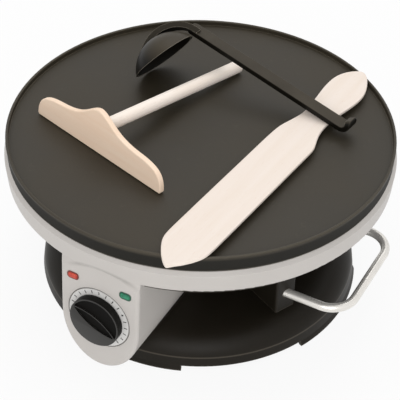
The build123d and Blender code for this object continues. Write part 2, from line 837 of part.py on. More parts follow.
def base_body():
    outside = dome(0, skirt_lift)
    body = outside - dome(base_wall, skirt_lift - 1)
    back = barrel_back - 2 * pocket_gap
    pocket = barrel(-pocket_gap, -column_foot, back, tray_bottom)
    wall = barrel(-pocket_gap - base_wall, -column_foot, back - base_wall, tray_bottom)
    keep = rod(skirt_radius, cover_height + cover_thickness + 0.5, dome_top + 30)
    body = body + ((wall & outside) & keep)
    body = body - pocket
    boss = rod(base_boss_radius, bottom_of_base, dome_top - 3)
    places = [polar(base_screw_circle, a) for a in base_screw_angles]
    body = join(body, around(boss, places))
    hole = rod(small_screw + screw_slack, bottom_of_base - 1, bottom_of_base + screw_grip + 2)
    body = cut(body, around(hole, places))
    columns = [polar(column_screw_circle, a) for a in column_screw_angles]
    through = rod(screw_radius + screw_slack, tray_bottom - 10, tray_bottom + 1)
    body = cut(body, around(through, columns) + [rod(wire_hole, tray_bottom - 10, tray_bottom + 1)])
    body = cut(body, cutaways())
    return body - cord_way() * Cylinder(cord_sleeve + cord_slack, 4 * cord_inside)


def cord_way():
    return Pos(0, skirt_radius - lip_inset, cord_height) * Rot(X=-90)


def column_screws():
    seat = tray_bottom - base_wall
    screw = long_screw(screw_radius, screw_head, screw_head_height, seat, ring_base + screw_grip)
    return around(screw, [polar(column_screw_circle, a) for a in column_screw_angles])


def bottom_cover():
    radius = skirt_radius - lip_inset - base_wall - cover_slack
    body = rod(radius, cover_height, bottom_of_base)
    places = [polar(base_screw_circle, a) for a in base_screw_angles]
    holes = around(rod(small_screw + screw_slack, 0, 20), places)
    holes += around(rod(foot_hole, 0, 20), foot_places())
    slot = Pos(0, 0, cover_height) * extrude(SlotOverall(vent_length, vent_width), 6, both=True)
    first = -(vent_count - 1) / 2 * vent_pitch
    holes += [Pos(0, first + i * vent_pitch, 0) * slot for i in range(vent_count)]
    return cut(body, holes)


def bottom_screws():
    tip = bottom_of_base + screw_grip
    screw = long_screw(small_screw, small_head, small_head_height, cover_height, tip)
    return around(screw, [polar(base_screw_circle, a) for a in base_screw_angles])


def foot_places():
    return [polar(foot_circle, a) for a in (0, 90, 180, 270)]


def rubber_feet():
    foot = rod(foot_radius, 0, cover_height)
    foot = fillet(circles_at(foot, 0, foot_radius), foot_edge)
    foot += rod(foot_hole - foot_slack, cover_height - foot_slack, bottom_of_base + 2 * foot_slack)
    foot += rod(foot_hole + foot_edge, bottom_of_base + foot_slack, bottom_of_base + foot_stem)
    return around(foot, foot_places())


def cord_bush():
    sleeve = Pos(0, 0, -cord_inside) * Cylinder(cord_sleeve, cord_inside + cord_outside, align=low)
    flange = Pos(0, 0, cord_seat) * Cylinder(cord_flange, cord_rim, align=low)
    barb = Pos(0, 0, 1 - cord_inside) * Cylinder(cord_barb, cord_rim, align=low)
    return cord_way() * (sleeve + flange + barb - Cylinder(cord_bore, 4 * cord_inside))


def clamp_seat():
    return skirt_radius - 28


def cord_clamp():
    height = cord_height + cord_bore
    bar = Pos(0, clamp_seat(), height) * Box(26, 7, 3, align=low)
    holes = [Pos(side * 9.5, clamp_seat(), height) * Cylinder(small_screw + screw_slack, 20)
             for side in (-1, 1)]
    legs = [Pos(side * 9.5, clamp_seat(), bottom_of_base)
            * (Cylinder(3.2, height - bottom_of_base, align=low)
               - Cylinder(small_screw + screw_slack, 60)) for side in (-1, 1)]
    return cut(bar, holes), legs


def cord_clamp_screws():
    seat = cord_height + cord_bore + 3
    head = rod(small_head, seat, seat + small_head_height)
    shank = rod(small_screw, bottom_of_base + 1, seat + 0.1)
    return [Pos(side * 9.5, clamp_seat(), 0) * (head + shank) for side in (-1, 1)]


# --- Electrical parts ---
def terminal_block():
    body = Pos(0, block_place, bottom_of_base) * Box(
        terminal_length, terminal_width, terminal_height, align=low)
    body = fillet(body.edges().filter_by(Axis.Z), 1.5)
    middle = bottom_of_base + terminal_height / 2
    cuts = []
    for i in (-1, 0, 1):
        across = i * terminal_pitch
        cuts.append(Pos(across, block_place, middle) * Rot(X=90) * Cylinder(terminal_bore, 40))
        for end in (-1, 1):
            cuts.append(Pos(across, block_place + end * 4, middle) * Cylinder(
                terminal_screw, 20, align=low))
    return cut(body, cuts)


def earth_place():
    return Pos(-earth_reach, 0, 0)


def earth_screw():
    base = pan_top - pan_thickness
    head = rod(screw_head, pan_top, pan_top + screw_head_height)
    screw = head + rod(screw_radius, ring_base + earth_level / 2, pan_top + 0.1)
    nut = Pos(0, 0, base) * extrude(RegularPolygon(screw_head, 6), -3)
    nut = nut - rod(screw_radius + 0.02, ring_base, base + 1)
    return earth_place() * screw, earth_place() * nut


def thermal_fuse():
    place = Pos(fuse_place, 10, pan_top + fuse_radius + 0.05)
    return place * Rot(X=90) * Cylinder(fuse_radius, fuse_length)


def lead_routes():
    """Mains, thermostat, element and earth leads, all inside the column, tray and barrel."""
    start = block_place - terminal_width / 2 + 5
    level = bottom_of_base + terminal_height / 2
    over = ring_base + lead_level
    under = ring_base + earth_level
    (right, back), (left, _) = leg_points()
    reach = back - pin_radius - 0.1
    rear = (panel * Pos(0, 0, -wall_depth - thermostat_depth - 0.3)).position
    turn = rear.Y + 16
    side = terminal_pitch
    element = [(-side, start, level), (-side, 12, level), (-side, 12, over), (left, reach, over)]
    thermostat = [(0, start, level), (0, 4, level), (0, 4, over), (0, turn + 8, over),
                  (0, turn, rear.Z), (0, rear.Y, rear.Z)]
    switched = [(8, rear.Y, rear.Z), (8, turn, rear.Z), (8, turn + 8, over), (right, reach, over)]
    screw = -screw_radius - 0.1
    earth = [(side, start, level), (side, -8, level), (side, -8, under),
             (-earth_reach, -8, under), (-earth_reach, screw, under)]
    return element, thermostat, switched, earth


def internal_leads():
    return [swept_tube(points, lead_radius, lead_bend) for points in lead_routes()]


# --- Utensils ---
def blade_middle():
    return (blade_start[0] + blade_end[0]) / 2, (blade_start[1] + blade_end[1]) / 2


def blade_frame():
    """Frame on the blade's lower edge: X along it, Y up, Z towards the front."""
    x, y = blade_middle()
    along = Vector(blade_end[0] - blade_start[0], blade_end[1] - blade_start[1], 0)
    lean = radians(dowel_lean())
    lift = rest_gap + blade_thickness * sin(lean)
    front = along.cross(Vector(0, 0, 1)).normalized()
    normal = front * cos(lean) + Vector(0, 0, 1) * sin(lean)
    return Plane(origin=(x, y, cooking_top + lift), x_dir=along, z_dir=normal)


def dowel_run():
    """Level distance from the blade's middle to the dowel's free end."""
    x, y = blade_middle()
    return hypot(dowel_end[0] - x, dowel_end[1] - y)


def dowel_lean():
    """Angle by which the dowel falls towards its free end."""
    return degrees(atan2(dowel_drop, dowel_run()))


def blade_length():
    return hypot(blade_end[0] - blade_start[0], blade_end[1] - blade_start[1])


def spreader_blade():
    half = blade_length() / 2
    corner, side = blade_lower
    right = [*blade_shoulders, (half, side)]
    left = [(-out, height) for out, height in reversed(right)]
    upper = Spline(*left, (0, blade_crown), *right)
    lower = Polyline(upper @ 1, (corner, 0), (-corner, 0), upper @ 0)
    body = extrude(make_face([upper, lower]), blade_thickness, dir=(0, 0, -1))
    body = fillet(body.edges() - body.edges().filter_by(Axis.Z), blade_round)
    hole = Pos(0, dowel_height, -blade_thickness - dowel_skin) * Cylinder(
        dowel_radius, blade_thickness, align=low)
    return blade_frame() * (body - hole)


def spreader_handle():
    length = hypot(dowel_run(), dowel_drop) - dowel_skin
    dowel = Pos(0, dowel_height, -dowel_skin) * Cylinder(dowel_radius, length, align=high)
    far = dowel.edges().filter_by(GeomType.CIRCLE).sort_by(Axis.Z)[0]
    return blade_frame() * fillet(far, dowel_edge)


def spatula_frame():
    """Frame on the spatula's underside: X along it from the tip, Z up."""
    angle = radians(spatula_angle)
    origin = (spatula_start[0], spatula_start[1], plate_top + rest_gap)
    return Plane(origin=origin, x_dir=(cos(angle), sin(angle), 0))


def spatula():
    left = [*spatula_tip, *spatula_sides, *spatula_left]
    right = [*spatula_tip, *spatula_sides, *spatula_right]
    around_it = [(0, 0), *left, (spatula_length, 0)]
    around_it += [(along, -half) for along, half in reversed(right)]
    body = extrude(make_face(Spline(*around_it, periodic=True)), spatula_thickness)
    edges = body.edges().group_by(Axis.Z)
    return spatula_frame() * fillet(edges[0] + edges[-1], spatula_round)


def ladle_frame():
    centre = Vector(bowl_centre[0], bowl_centre[1], cooking_top + bowl_centre[2])
    return Plane(origin=centre, x_dir=(0, 0, 1), z_dir=bowl_normal)


def strap_line():
    """Middle of the strap at the bowl, and its direction towards the hook."""
    near, far = (Vector(x, y, cooking_top + up) for x, y, up in (strap_start, strap_bend))
    return near, (far - near).normalized()


def strap_frame():
    """Upright frame along the strap: X towards the hook, Y up."""
    near, along = strap_line()
    level = Vector(along.X, along.Y, 0).normalized()
    return Plane(origin=near, x_dir=level, z_dir=level.cross(Vector(0, 0, 1)))


def strap():
    length = hypot(strap_bend[0] - strap_start[0], strap_bend[1] - strap_start[1])
    drop = strap_bend[2] - strap_start[2]
    straight = Line((0, 0), (length, drop))
    hook = JernArc(straight @ 1, straight % 1, hook_radius, hook_turn)
    path = Wire([straight, hook])
    section = Plane(origin=path @ 0, x_dir=(0, 0, 1), z_dir=path % 0) * Rectangle(
        strap_far, strap_thickness)
    bar = sweep(section, path=path)
    end = length + 3 * hook_radius
    near, far = strap_near / 2, strap_far / 2
    start = strap_thickness
    plan = make_face(Polyline((-start, -near), (start, -near), (length, -far), (end, -far),
                              (end, far), (length, far), (start, near), (-start, near), close=True))
    plan = Plane.XZ.offset(-utensil_reach / 2) * plan
    bar = bar & extrude(plan, utensil_reach)
    ends = bar.edges().filter_by(GeomType.LINE).filter_by(
        lambda edge: abs(edge.length - strap_thickness) < 0.01)
    bar = fillet(ends, strap_tip)
    sides = bar.edges().filter_by(lambda edge: edge.length > length / 2)
    return strap_frame() * fillet(sides, strap_edge)


def back_band(middle):
    """Band that carries the strap on over the bowl's back and thins out towards the tip."""
    near, along = strap_line()
    out = near + along * (middle - near).dot(along) - middle
    reach = out.length + strap_thickness / 2
    out = out.normalized()
    lean = radians(band_back)
    centre = middle + (out * cos(lean) - along * sin(lean)) * band_rise
    radius = reach - band_rise * cos(lean)
    frame = Plane(origin=centre, z_dir=along.cross(out))
    return frame * tube(radius, radius - strap_thickness, -band_width / 2, band_width / 2)


def ladle():
    sphere_radius = (bowl_radius ** 2 + bowl_depth ** 2) / (2 * bowl_depth)
    place = ladle_frame() * Pos(0, 0, sphere_radius - bowl_depth)
    ball = place * Sphere(sphere_radius)
    inside = place * Sphere(sphere_radius - bowl_wall)
    closed = ladle_frame() * Box(utensil_reach, utensil_reach, utensil_reach, align=high)
    band = back_band(place.position) & closed
    return ((ball & closed) + band + (strap() - ball)) - (inside & closed)


def build():
    save("griddle_plate", griddle_plate())
    save("heating_element", heating_element())
    save("element_clamps", *element_clamps())
    save("clamp_screws", *clamp_screws())
    save("reflector_pan", reflector_pan())
    save("standoffs", *standoffs())
    save("plate_screws", *plate_screws())
    save("upper_housing", upper_housing())
    save("housing_screws", *housing_screws())
    save("dial_scale", dial_scale())
    save("knob", knob())
    save("knob_spring", knob_spring())
    save("thermostat_spindle", thermostat_spindle())
    save("thermostat_body", thermostat_body())
    save("thermostat_bracket", thermostat_bracket())
    save("thermostat_screws", *thermostat_screws())
    save("thermostat_bulb", bulb_shape())
    save("bulb_clip", bulb_clip())
    save("capillary_tube", capillary_tube())
    left, right = lamp_places()
    save("red_lamp_lens", left * lamp_lens())
    save("green_lamp_lens", right * lamp_lens())
    save("lamp_holders", left * lamp_holder(), right * lamp_holder())
    save("underbody", underbody())
    save("handle_screws", *handle_screws())
    save("handle_right", handle(1))
    save("handle_left", handle(-1))
    save("base_shell", base_halves(Keep.BOTTOM))
    save("base_column", base_halves(Keep.TOP))
    save("column_screws", *column_screws())
    save("bottom_cover", bottom_cover())
    save("bottom_screws", *bottom_screws())
    save("rubber_feet", *rubber_feet())
    save("cord_bush", cord_bush())
    bar, legs = cord_clamp()
    save("cord_clamp", bar, *legs)
    save("cord_clamp_screws", *cord_clamp_screws())
    save("terminal_block", terminal_block())
    save("thermal_fuse", thermal_fuse())
    save("earth_screw", *earth_screw())
    save("internal_leads", *internal_leads())
    save("spreader_blade", spreader_blade())
    save("spreader_handle", spreader_handle())
    save("spatula", spatula())
    save("ladle", ladle())


build()
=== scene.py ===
import json
import math
import bpy
from mathutils import Matrix, Vector


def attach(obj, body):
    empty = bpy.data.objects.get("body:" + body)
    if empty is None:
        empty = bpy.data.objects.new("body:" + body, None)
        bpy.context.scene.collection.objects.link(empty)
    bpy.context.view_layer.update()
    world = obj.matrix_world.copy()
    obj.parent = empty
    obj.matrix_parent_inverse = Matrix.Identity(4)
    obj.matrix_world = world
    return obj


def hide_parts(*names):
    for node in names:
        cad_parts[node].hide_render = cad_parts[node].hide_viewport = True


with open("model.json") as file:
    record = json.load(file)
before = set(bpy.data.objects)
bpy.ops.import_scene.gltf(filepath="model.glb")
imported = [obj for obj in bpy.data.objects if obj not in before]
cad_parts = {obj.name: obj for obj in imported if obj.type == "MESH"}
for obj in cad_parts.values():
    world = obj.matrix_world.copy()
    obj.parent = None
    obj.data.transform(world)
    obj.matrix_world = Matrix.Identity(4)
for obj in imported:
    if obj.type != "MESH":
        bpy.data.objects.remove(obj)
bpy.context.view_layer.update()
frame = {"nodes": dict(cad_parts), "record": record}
nodes = frame["nodes"]
print("frame loaded:", len(nodes), "nodes")


camera = {
    "place": (0.4130, -0.77615, 0.8169),
    "target": (0.0461, -0.0860, 0.1510),
    "lens": 117.0,           # millimetres, as the sensor is
    "sensor": 36.0,
    "roll": 1.27,            # degrees, leaning to the right
    "nearest": 0.01,
}


def makeCamera(size):
    place = Vector(size["place"])
    ahead = (Vector(size["target"]) - place).normalized()
    right = ahead.cross(Vector((0, 0, 1))).normalized()
    up = right.cross(ahead)
    lean = math.radians(size["roll"])
    across = math.cos(lean) * right + math.sin(lean) * up
    upright = math.cos(lean) * up - math.sin(lean) * right
    turn = Matrix((across, upright, -ahead)).transposed().to_4x4()
    data = bpy.data.cameras.new("camera")
    data.lens = size["lens"]
    data.sensor_width = size["sensor"]
    data.clip_start = size["nearest"]
    made = bpy.data.objects.new("camera", data)
    made.matrix_world = Matrix.Translation(place) @ turn
    bpy.context.scene.collection.objects.link(made)
    bpy.context.scene.camera = made


lampAim = (0, 0, 0.1)
lamps = {
    "overhead": {"place": (-0.35, 0.75, 1.9), "size": 1.9, "power": 14.0},
    "front": {"place": (0.9, -1.9, 1.3), "size": 1.8, "power": 20.5},
    "left": {"place": (-1.9, -0.6, 1.1), "size": 1.4, "power": 0.2},
}


def makeLamp(name, size):
    data = bpy.data.lights.new(name, "AREA")
    data.shape = "DISK"
    data.size = size["size"]
    data.energy = size["power"]
    made = bpy.data.objects.new(name, data)
    place = Vector(size["place"])
    turn = (Vector(lampAim) - place).to_track_quat("-Z", "Y").to_matrix().to_4x4()
    made.matrix_world = Matrix.Translation(place) @ turn
    bpy.context.scene.collection.objects.link(made)


class Wire:
    # a socket that can be added, subtracted, multiplied and linked
    def __init__(self, tree, socket=None):
        self.tree = tree
        self.socket = socket

    def make(self, kind, settings=None, inputs=None, output=0):
        node = self.tree.nodes.new(kind)
        for key, value in (settings or {}).items():
            setattr(node, key, value)
        for key, value in (inputs or {}).items():
            if isinstance(value, Wire):
                self.tree.links.new(value.socket, node.inputs[key])
            else:
                node.inputs[key].default_value = value
        return Wire(self.tree, node.outputs[output])

    def math(self, operation, *values):
        inputs = dict(enumerate(values))
        return self.make("ShaderNodeMath", {"operation": operation}, inputs)

    def absolute(self):
        return self.math("ABSOLUTE", self)

    def larger(self, other):
        return self.math("MAXIMUM", self, other)

    def __add__(self, other):
        return self.math("ADD", self, other)

    def __sub__(self, other):
        return self.math("SUBTRACT", self, other)

    def __rsub__(self, other):
        return self.math("SUBTRACT", other, self)

    def __mul__(self, other):
        return self.math("MULTIPLY", self, other)

    __radd__ = __add__
    __rmul__ = __mul__


class Finish:
    # one material: its coordinates, noises, mixes and shader
    def __init__(self, name, colour, roughness, **shader):
        self.material = bpy.data.materials.new(name)
        self.material.use_nodes = True
        tree = self.material.node_tree
        self.wire = Wire(tree)
        self.shader = tree.nodes["Principled BSDF"]
        self.place = self.wire.make("ShaderNodeTexCoord", output="Object")
        self.set("Base Color", (*colour, 1))
        self.set("Roughness", roughness)
        for key, value in shader.items():
            self.set(key.replace("_", " "), value)

    def set(self, name, value):
        if isinstance(value, Wire):
            self.wire.tree.links.new(value.socket, self.shader.inputs[name])
        else:
            self.shader.inputs[name].default_value = value

    def noise(self, scale, detail=3.0, rough=0.6, place=None, distortion=0.0):
        return self.wire.make("ShaderNodeTexNoise", inputs={
            "Vector": place or self.place, "Scale": scale, "Detail": detail,
            "Roughness": rough, "Distortion": distortion})

    def along(self, angle, scale):
        # coordinates turned to run along a part, then stretched
        turned = self.wire.make("ShaderNodeMapping", inputs={
            "Vector": self.place, "Rotation": (0, 0, -math.radians(angle))})
        return self.wire.make("ShaderNodeMapping", inputs={"Vector": turned, "Scale": scale})

    def coordinate(self, axis):
        return self.wire.make("ShaderNodeSeparateXYZ", inputs={0: self.place}, output=axis)

    def fromAxis(self):
        flat = self.wire.make("ShaderNodeVectorMath", {"operation": "MULTIPLY"},
                              {0: self.place, 1: (1, 1, 0)})
        return self.wire.make("ShaderNodeVectorMath", {"operation": "LENGTH"}, {0: flat}, 1)

    def facing(self, axis):
        normal = self.wire.make("ShaderNodeNewGeometry", output="Normal")
        return self.wire.make("ShaderNodeSeparateXYZ", inputs={0: normal}, output=axis)

    def span(self, value, low, high, start=0.0, end=1.0):
        return self.wire.make("ShaderNodeMapRange", inputs={
            "Value": value, "From Min": low, "From Max": high, "To Min": start, "To Max": end})

    def mix(self, factor, first, second):
        def colour(value):
            return value if isinstance(value, Wire) else (*value, 1)
        return self.wire.make("ShaderNodeMix", {"data_type": "RGBA"}, {
            0: factor, 6: colour(first), 7: colour(second)}, 2)

    def bump(self, height, strength, distance=0.0001):
        self.set("Normal", self.wire.make("ShaderNodeBump", inputs={
            "Height": height, "Strength": strength, "Distance": distance}))

    def sharpEdgeMask(self, radius):
        # 1 on sharp edges, 0 on flat ground
        rounded = self.wire.make("ShaderNodeBevel", inputs={"Radius": radius})
        flat = self.wire.make("ShaderNodeNewGeometry", output="Normal")
        same = self.wire.make("ShaderNodeVectorMath", {"operation": "DOT_PRODUCT"},
                              {0: rounded, 1: flat}, 1)
        return self.span(same, 0.995, 0.90)


def srgb(red, green, blue):
    def linear(value):
        value = value / 255
        return value / 12.92 if value <= 0.04045 else ((value + 0.055) / 1.055) ** 2.4
    return tuple(linear(value) for value in (red, green, blue))


coating = {
    "light": srgb(54, 48, 37), "dark": srgb(46, 41, 31), "speck": srgb(70, 64, 52),
    # edge colour: painted highlight along the rims, partly wear
    "wearAndHighlight": srgb(104, 97, 84), "edgeBand": 0.0016,
    # side colour: painted shade on the plate's outer side wall, below the rim's top
    "side": srgb(22, 20, 14), "shadedSideTop": 0.1492,
    "shadedSideStart": 0.1630, "shadedSideFull": 0.1642,          # radii from the middle
}


def plateCoating(size):
    # dark baked coating: fine grain, faint clouds and small worn specks; painted shade on the
    # outer side wall and painted highlight along the rims, partly wear
    made = Finish("plateCoating", size["light"], 0.5, Specular_IOR_Level=0.28)
    grain = made.noise(900, 4)
    cloud = made.noise(9, 5)
    spot = made.noise(140, 3, 0.7)
    base = made.mix(made.span(cloud, 0.35, 0.65), size["dark"], size["light"])
    base = made.mix(made.span(spot, 0.62, 0.75, 0.0, 0.3), base, size["speck"])
    # painted shade: the outer side wall is darker
    low = made.span(made.coordinate(2), size["shadedSideTop"], size["shadedSideTop"] - 0.002)
    side = made.span(made.fromAxis(), size["shadedSideStart"], size["shadedSideFull"]) * low
    base = made.mix(side, base, size["side"])
    # painted highlight, partly wear: lighter along sharp edges
    base = made.mix(made.sharpEdgeMask(size["edgeBand"]) * 0.7, base, size["wearAndHighlight"])
    made.set("Base Color", base)
    made.set("Roughness", made.span(cloud + 0.5 * grain, 0.4, 1.0, 0.44, 0.60) + 0.2 * side)
    made.bump(grain + 0.4 * spot, 0.25, 0.0002)
    return made.material


def moulded(name, light, dark, roughness, grainScale=1600, cloudScale=22, bump=0.12, **shader):
    # fine grain and faint clouds; gives the colour too, for layers over it
    made = Finish(name, light, roughness, **shader)
    cloud = made.noise(cloudScale, 4)
    colour = made.mix(made.span(cloud, 0.3, 0.7), dark, light)
    made.set("Base Color", colour)
    made.set("Roughness", made.span(cloud, 0.3, 0.7, roughness - 0.05, roughness + 0.05))
    made.bump(made.noise(grainScale), bump)
    return made, colour


def plainPlastic(name, light, dark, roughness, grainScale=1600, bump=0.12, **shader):
    made, colour = moulded(name, light, dark, roughness, grainScale, 22, bump, **shader)
    return made.material


moulding = {
    "light": srgb(31, 27, 21), "dark": srgb(26, 23, 17),
    # edge colour: painted highlight along sharp edges, partly wear
    "wearAndHighlight": srgb(88, 82, 73), "edgeBand": 0.0018,
    # pale line: painted highlight along the edge where skirt and dome meet
    "line": srgb(86, 80, 71), "lineHeight": 0.0138, "lineWidth": 0.0011,
    "lineStart": 0.1365, "lineFull": 0.1385,          # radii from the middle
}


def baseMoulding(size):
    # satin black with a thin pale line of painted highlight where skirt and dome meet, and painted
    # highlight along sharp edges, partly wear
    made, base = moulded("baseBlack", size["light"], size["dark"], 0.42,
                         Specular_IOR_Level=0.14)
    # painted highlight: a thin pale line at the skirt's top edge
    away = (made.coordinate(2) - size["lineHeight"]).absolute()
    line = made.span(away, size["lineWidth"], 0.0) * made.span(
        made.fromAxis(), size["lineStart"], size["lineFull"])
    base = made.mix(line * 0.75, base, size["line"])
    # painted highlight, partly wear: lighter along sharp edges
    made.set("Base Color", made.mix(made.sharpEdgeMask(size["edgeBand"]) * 0.6, base, size["wearAndHighlight"]))
    return made.material


pressing = {
    # top colour: painted light on faces turned up; side colour: painted shade on the rest
    "top": srgb(66, 60, 50), "side": srgb(14, 12, 8),
    # edge colour: painted highlight along sharp edges, partly wear
    "wearAndHighlight": srgb(150, 142, 128), "edgeBand": 0.0005,
}


def ladleBlack(size):
    # satin black, greyer where it faces up as painted light and darker elsewhere as painted shade
    made = Finish("ladleBlack", size["side"], 0.42, Specular_IOR_Level=0.12)
    cloud = made.noise(26, 4)
    # painted light on faces turned up, painted shade on the sides
    base = made.mix(made.span(made.facing(2), 0.55, 0.9), size["side"], size["top"])
    base = made.mix(made.span(cloud, 0.35, 0.7, 0.0, 0.3), base, size["side"])
    # painted highlight, partly wear: lighter along sharp edges
    made.set("Base Color", made.mix(made.sharpEdgeMask(size["edgeBand"]) * 0.9, base, size["wearAndHighlight"]))
    made.set("Roughness", made.span(cloud, 0.3, 0.7, 0.36, 0.46))
    made.bump(made.noise(1500), 0.1)
    return made.material


paint = {
    "light": srgb(199, 194, 189), "dark": srgb(194, 189, 184),
    # edge colour: painted highlight along sharp edges, partly wear
    "wearAndHighlight": srgb(222, 219, 214), "edgeBand": 0.0007,
    # shade colour: painted shade along the crease where panel and ring meet
    "shade": srgb(160, 156, 151), "creaseTop": 0.1195, "creaseMiddle": 0.003,
    "creaseBend": 8.0, "creaseWidth": 0.0030, "creaseEnd": 0.034, "creaseFull": 0.022,
    "front": -0.158,
}


def housingPaint(size):
    # satin grey paint, with a soft arched line of painted shade along the crease where panel and
    # ring meet, and painted highlight along sharp edges, partly wear
    made, base = moulded("housingGrey", size["light"], size["dark"], 0.4, 1400, 18)
    aside = made.coordinate(0) - size["creaseMiddle"]
    above = made.coordinate(2) - size["creaseTop"] + size["creaseBend"] * (aside * aside)
    line = made.span(above.absolute(), size["creaseWidth"], 0.0) * made.span(
        made.coordinate(1), size["front"], size["front"] - 0.004)
    ends = made.span(aside.absolute(), size["creaseEnd"], size["creaseFull"])
    # painted shade along the crease
    base = made.mix(line * ends * 0.8, base, size["shade"])
    # painted highlight, partly wear: lighter along sharp edges
    made.set("Base Color", made.mix(made.sharpEdgeMask(size["edgeBand"]) * 0.6, base, size["wearAndHighlight"]))
    return made.material


def brushedMetal(name, colour, roughness, stretch=(40, 40, 900)):
    made = Finish(name, colour, roughness, Metallic=1.0)
    streak = made.noise(1.0, place=made.along(0, stretch))
    made.set("Roughness", made.span(streak, 0.3, 0.7, roughness - 0.06, roughness + 0.08))
    made.bump(streak, 0.08)
    return made.material


def chromeWire(light, dull):
    # bright plated wire, a little soft
    made = Finish("chromeWire", light, 0.3, Metallic=0.55)
    haze = made.noise(60, 4)
    made.set("Roughness", made.span(haze, 0.35, 0.7, 0.24, 0.36))
    made.set("Base Color", made.mix(made.span(haze, 0.4, 0.7), light, dull))
    return made.material


woods = {                    # angle: degrees, the way the grain runs
    "bladeWood": {"light": srgb(253, 228, 204), "dark": srgb(248, 218, 191),
                  "fleck": srgb(222, 184, 152), "angle": -16},
    "dowelWood": {"light": srgb(254, 244, 234), "dark": srgb(250, 235, 221),
                  "fleck": srgb(214, 184, 160), "angle": 73},
    "spatulaWood": {"light": srgb(243, 231, 221), "dark": srgb(239, 225, 212),
                    "fleck": srgb(222, 196, 174), "angle": 84.8},
}


def sandedWood(name):
    # plain sanded beech: soft streaks and short flecks along the part
    size = woods[name]
    made = Finish(name, size["light"], 0.6, Specular_IOR_Level=0.3)
    streak = made.noise(1.0, 5, place=made.along(size["angle"], (6, 110, 110)), distortion=0.5)
    fleck = made.noise(1.0, 2, 0.5, made.along(size["angle"], (150, 1500, 1500)))
    cloud = made.noise(14, 3, 0.5)
    base = made.mix(made.span(streak, 0.35, 0.7), size["light"], size["dark"])
    base = made.mix(made.span(fleck, 0.64, 0.78, 0.0, 0.4), base, size["fleck"])
    base = made.mix(made.span(cloud, 0.4, 0.7, 0.0, 0.4), base, size["light"])
    made.set("Base Color", base)
    made.set("Roughness", made.span(streak, 0.3, 0.7, 0.54, 0.66))
    made.bump(streak + 0.6 * fleck, 0.15, 0.0002)
    return made.material


def signalLens(name, colour, deep):
    # ribbed translucent lens, darker towards its sides
    made = Finish(name, colour, 0.25, Specular_IOR_Level=0.4, Emission_Strength=0.1)
    rib = made.noise(420, 2, 0.5)
    base = made.mix(made.span(rib, 0.35, 0.65), deep, colour)
    made.set("Base Color", made.mix(made.sharpEdgeMask(0.0009) * 0.8, base, deep))
    made.set("Emission Color", (*colour, 1))
    made.bump(rib, 0.1, 0.0002)
    return made.material


def lampRims(red, green, dirt):
    # each rim in the deep colour of its own lamp
    made = Finish("lampRims", red, 0.4)
    grain = made.noise(1600)
    base = made.mix(made.span(made.coordinate(0), -0.001, 0.001), red, green)
    made.set("Base Color", made.mix(made.span(grain, 0.3, 0.7, 0.0, 0.25), base, dirt))
    made.bump(grain, 0.1)
    return made.material


def makeFinishes():
    return {
        "plate_coating": plateCoating(coating),
        "base_black": baseMoulding(moulding),
        "housing_grey": housingPaint(paint),
        "ladle_black": ladleBlack(pressing),
        "chrome": chromeWire(srgb(236, 232, 226), srgb(224, 221, 215)),
        "steel": brushedMetal("zincSteel", srgb(190, 190, 192), 0.32),
        "bright_sheet": brushedMetal("brightSheet", srgb(215, 215, 216), 0.25, (900, 40, 40)),
        "copper": brushedMetal("copperTube", srgb(200, 140, 110), 0.28),
        "dial_silver": plainPlastic("dialSilver", srgb(222, 220, 217), srgb(214, 212, 209), 0.30),
        "knob_black": plainPlastic("knobBlack", srgb(38, 36, 33), srgb(33, 32, 29), 0.35,
                                   Specular_IOR_Level=0.4),
        # lighter finish of the rounded edges: painted highlight
        "knob_edge": plainPlastic("knobEdgeHighlight", srgb(104, 100, 95), srgb(88, 85, 80), 0.3),
        # darker finish of the pockets: painted shade in the recesses
        "knob_pocket": plainPlastic("knobPocketShade", srgb(15, 14, 12), srgb(11, 10, 9), 0.6,
                                    Specular_IOR_Level=0.05),
        "knob_side": plainPlastic("knobSide", srgb(20, 19, 17), srgb(16, 15, 13), 0.55,
                                  Specular_IOR_Level=0.1),
        "print_dark": plainPlastic("printDark", srgb(40, 38, 35), srgb(32, 30, 28), 0.6),
        "groove_shade": plainPlastic("grooveShade", srgb(128, 124, 120), srgb(112, 108, 104), 0.6),
        "ceramic_white": plainPlastic("ceramicWhite", srgb(226, 221, 210), srgb(214, 208, 196),
                                      0.6),
        "rubber_black": plainPlastic("rubberBlack", srgb(34, 33, 32), srgb(29, 28, 27), 0.75,
                                     900, 0.3),
        "lead_sleeve": plainPlastic("leadSleeve", srgb(218, 208, 180), srgb(205, 194, 164), 0.8,
                                    700, 0.4),
        "lens_red": signalLens("lensRed", srgb(206, 78, 56), srgb(160, 48, 36)),
        "lens_green": signalLens("lensGreen", srgb(38, 134, 98), srgb(18, 92, 66)),
        "lamp_holders": lampRims(srgb(120, 46, 36), srgb(28, 84, 64), srgb(30, 26, 24)),
        "spreader_blade": sandedWood("bladeWood"),
        "spreader_handle": sandedWood("dowelWood"),
        "spatula": sandedWood("spatulaWood"),
    }


def dressFrame(finishes):
    # a finish of the node's own name goes before the one of its slot
    for part in frame["record"]["subparts"]:
        node = part["node"]
        mesh = nodes[node].data
        mesh.materials.clear()
        mesh.materials.append(finishes[node if node in finishes else part["material_slot"]])


def selectOnly(piece=None):
    bpy.ops.object.select_all(action="DESELECT")
    if piece:
        piece.select_set(True)
        bpy.context.view_layer.objects.active = piece


def applyPlace():
    bpy.ops.object.transform_apply(location=True, rotation=True, scale=True)


def roundBlock(name, radius, bottom, top, centre=(0, 0), sides=192):
    selectOnly()
    bpy.ops.mesh.primitive_cylinder_add(vertices=sides, radius=radius, depth=top - bottom,
                                        location=(*centre, (top + bottom) / 2))
    made = bpy.context.active_object
    made.name = name
    applyPlace()
    return made


def flatBlock(name, size, place, turn=0.0):
    selectOnly()
    bpy.ops.mesh.primitive_cube_add(size=1.0, location=place, rotation=(0, 0, turn))
    made = bpy.context.active_object
    made.name = name
    made.scale = size
    applyPlace()
    return made


